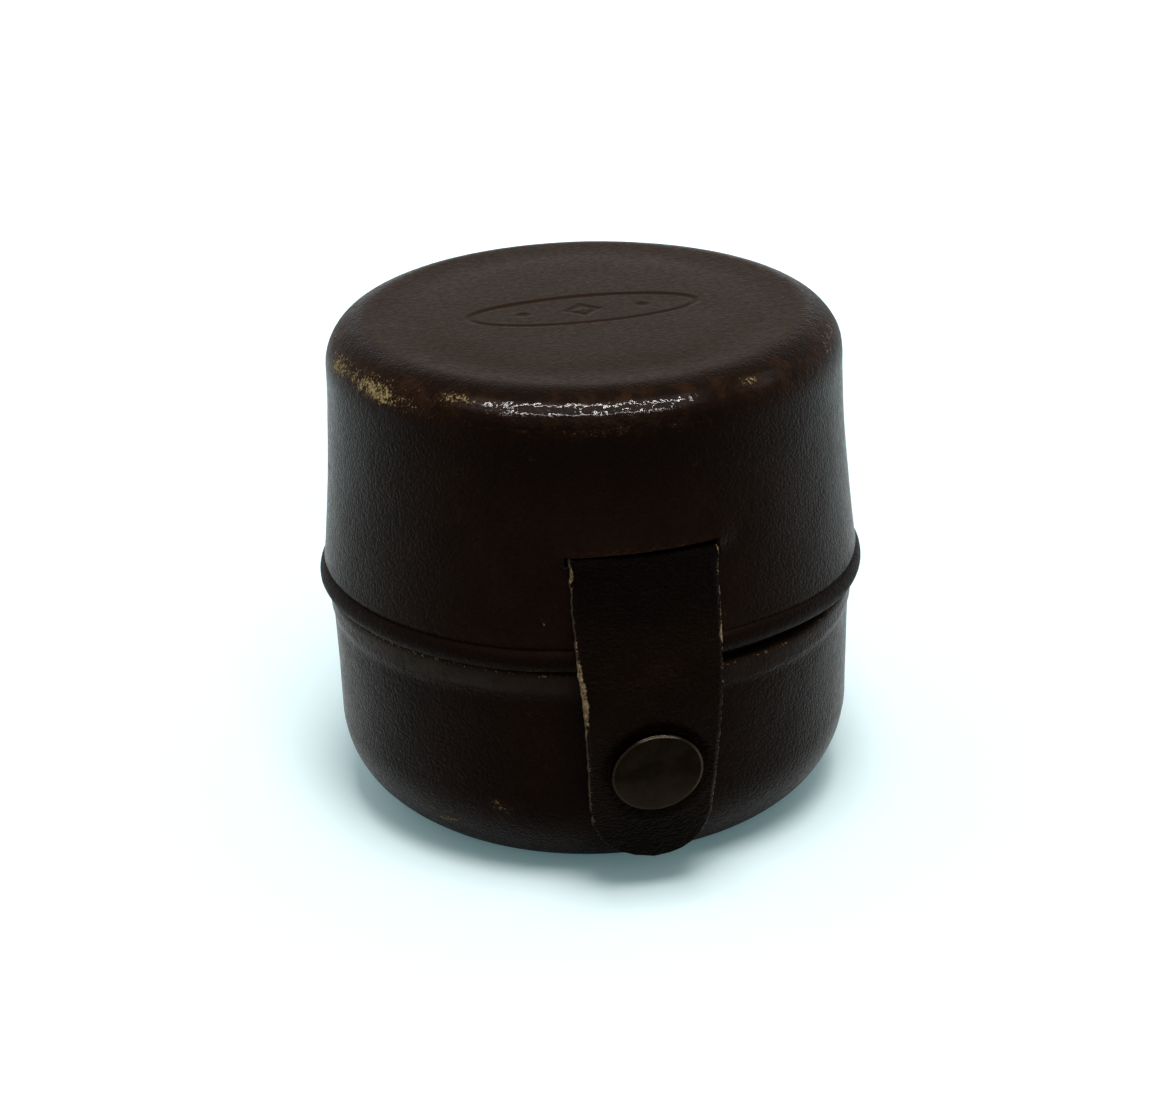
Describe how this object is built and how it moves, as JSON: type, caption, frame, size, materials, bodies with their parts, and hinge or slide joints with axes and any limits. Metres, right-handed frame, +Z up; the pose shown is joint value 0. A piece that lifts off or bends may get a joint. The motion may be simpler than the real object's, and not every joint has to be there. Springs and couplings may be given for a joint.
{
  "type": "round leather accessory case",
  "caption": "Small round moulded leather case with a deep hinged lid, a beaded rim and a bowed strap that closes with a press stud on the base.",
  "frame": {"origin": "on the case's axis, at the flat underside of the base that it stands on", "axes": "+Z up along the case's axis; -Y forwards, to the strap; +Y to the hinge at the back; +X to the right of someone facing the strap"},
  "size_m": [0.064, 0.069, 0.0592],
  "materials": {
    "case_leather": "dark brown smooth moulded leather, worn in places",
    "strap_leather": "dark brown leather with raw tan edges",
    "card": "plain pressed card",
    "lining_cloth": "plain brown cloth",
    "thread": "waxed thread",
    "cap_metal": "dark bronze lacquer, satin",
    "snap_brass": "plain brass"
  },
  "bodies": {
    "base": {"base_shell": "case_leather", "base_card_ring": "card", "base_floor_board": "card", "base_floor_lining": "lining_cloth", "inner_collar": "card", "collar_lining": "lining_cloth", "snap_stud": "snap_brass", "snap_rivet": "snap_brass", "hinge_lower_leather": "case_leather", "hinge_lower_stitches": "thread"},
    "lid": {"lid_shell": "case_leather", "lid_card_ring": "card", "lid_top_card": "card", "lid_wall_lining": "lining_cloth", "lid_top_lining": "lining_cloth", "strap_tail": "strap_leather", "hinge_upper_leather": "case_leather", "hinge_upper_stitches": "thread"},
    "strap": {"closure_strap": "strap_leather", "snap_cap": "cap_metal", "snap_socket": "snap_brass", "snap_spring": "snap_brass"}
  },
  "joints": [
    {"name": "lid_open", "type": "hinge", "parent": "base", "child": "lid", "pos_m": [0, 0.03295, 0.02732], "axis": [-1, 0, 0], "range_deg": [0, 110]},
    {"name": "strap_lift", "type": "hinge", "parent": "lid", "child": "strap", "pos_m": [0, -0.03082, 0.0412], "axis": [-1, 0, 0], "range_deg": [0, 130]}
  ]
}
